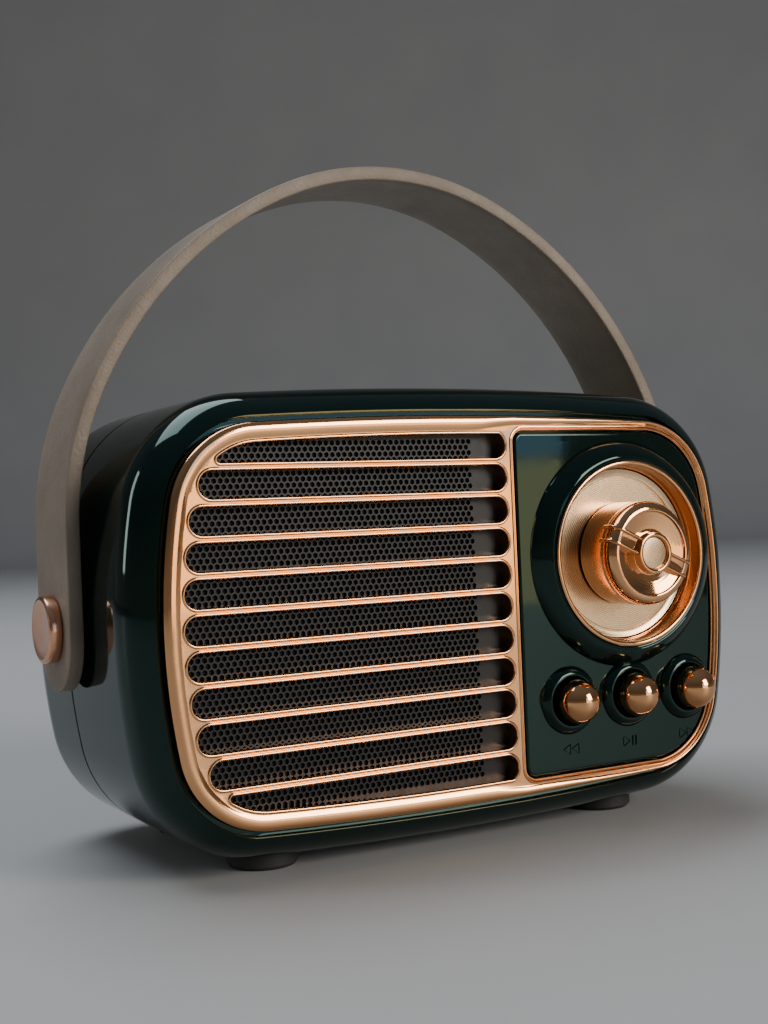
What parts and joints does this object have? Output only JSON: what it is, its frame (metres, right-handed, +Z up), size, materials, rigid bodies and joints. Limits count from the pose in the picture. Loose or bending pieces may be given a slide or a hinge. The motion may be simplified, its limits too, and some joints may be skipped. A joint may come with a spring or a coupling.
{
  "type": "portable speaker styled as a vintage radio",
  "caption": "Small radio-styled portable speaker with a slotted metal grille, a dial knob, ball keys and an arched leather carrying strap.",
  "frame": {"origin": "on the resting plane of the feet, under the middle of the whole object's box", "axes": "+Z up, front faces -Y, +X to the right seen from the front"},
  "size_m": [0.098, 0.0516, 0.0894],
  "materials": {
    "case_plastic": "high-gloss dark green moulded plastic",
    "rose_gold_plating": "polished rose-gold metal plating over moulded plastic",
    "rose_gold_screw": "polished rose-gold plated metal, faintly turned",
    "champagne_disc": "spun champagne-coloured metal with fine concentric lines",
    "mesh_black": "satin black perforated sheet",
    "cloth_black": "matt black acoustic cloth",
    "strap_leather": "smooth taupe leather with pale napped suede back and cut edges",
    "rubber_black": "matt black rubber",
    "board_green": "green solder mask",
    "part_black": "matt black moulding",
    "part_ivory": "ivory moulding",
    "steel_plain": "plain bright steel",
    "basket_black": "black lacquered pressed steel",
    "ferrite_grey": "dark grey sintered ferrite",
    "cone_paper": "pressed black cone",
    "copper_wire": "enamelled copper winding",
    "cell_silver": "silver laminate pouch",
    "foam_grey": "grey foam tape",
    "lead_red": "red and black silicone insulation",
    "lamp_clear": "tinted clear light guide",
    "brass_insert": "turned brass"
  },
  "bodies": {
    "case": {"front_shell": "case_plastic", "rear_shell": "case_plastic", "rubber_feet": "rubber_black", "grille_bezel": "rose_gold_plating", "control_panel": "case_plastic", "speaker_mesh": "mesh_black", "grille_cloth": "cloth_black", "dial_ring": "rose_gold_plating", "dial_plate": "champagne_disc", "volume_control": "part_black", "key_switches": "part_black", "key_board": "board_green", "main_board": "board_green", "key_board_screws": "steel_plain", "main_board_screws": "steel_plain", "driver_basket": "basket_black", "driver_gasket": "foam_grey", "driver_top_plate": "steel_plain", "driver_magnet": "ferrite_grey", "driver_spider": "cloth_black", "driver_yoke": "steel_plain", "driver_screws": "steel_plain", "cone_surround": "rubber_black", "audio_socket": "part_black", "charge_socket": "steel_plain", "card_socket": "steel_plain", "charge_lamp": "lamp_clear", "radio_module_can": "steel_plain", "amplifier_chip": "part_black", "lead_connectors": "part_ivory", "smoothing_capacitors": "part_black", "battery_cell": "cell_silver", "battery_tape": "foam_grey", "speaker_leads": "lead_red", "battery_leads": "lead_red", "strap_screws": "rose_gold_screw", "strap_spacers": "rubber_black", "strap_inserts": "brass_insert", "case_screws": "steel_plain"},
    "handle": {"leather_strap": "strap_leather"},
    "knob": {"volume_knob": "rose_gold_plating", "knob_pointer": "rose_gold_plating", "knob_centre_disc": "champagne_disc", "volume_shaft": "steel_plain"},
    "previous_key_unit": {"previous_key": "rose_gold_plating", "previous_switch_plunger": "part_ivory"},
    "play_key_unit": {"play_key": "rose_gold_plating", "play_switch_plunger": "part_ivory"},
    "next_key_unit": {"next_key": "rose_gold_plating", "next_switch_plunger": "part_ivory"},
    "driver_cone": {"speaker_cone": "cone_paper", "voice_coil": "copper_wire", "dust_cap": "cone_paper"}
  },
  "joints": [
    {"name": "handle_swing", "type": "hinge", "parent": "case", "child": "handle", "pos_m": [0, 0.0028, 0.0298], "axis": [1, 0, 0], "range_deg": [-90, 90]},
    {"name": "volume_turn", "type": "hinge", "parent": "case", "child": "knob", "pos_m": [0.0244, -0.0192, 0.0357], "axis": [0, 1, 0], "range_deg": [-84, 216]},
    {"name": "previous_press", "type": "slide", "parent": "case", "child": "previous_key_unit", "axis": [0, 1, 0], "range_m": [0, 0.0005], "stiffness_N_per_m": 1500, "springref_m": -0.0003},
    {"name": "play_press", "type": "slide", "parent": "case", "child": "play_key_unit", "axis": [0, 1, 0], "range_m": [0, 0.0005], "stiffness_N_per_m": 1500, "springref_m": -0.0003},
    {"name": "next_press", "type": "slide", "parent": "case", "child": "next_key_unit", "axis": [0, 1, 0], "range_m": [0, 0.0005], "stiffness_N_per_m": 1500, "springref_m": -0.0003},
    {"name": "cone_travel", "type": "slide", "parent": "case", "child": "driver_cone", "axis": [0, 1, 0], "range_m": [-0.0005, 0.0005], "stiffness_N_per_m": 900}
  ]
}
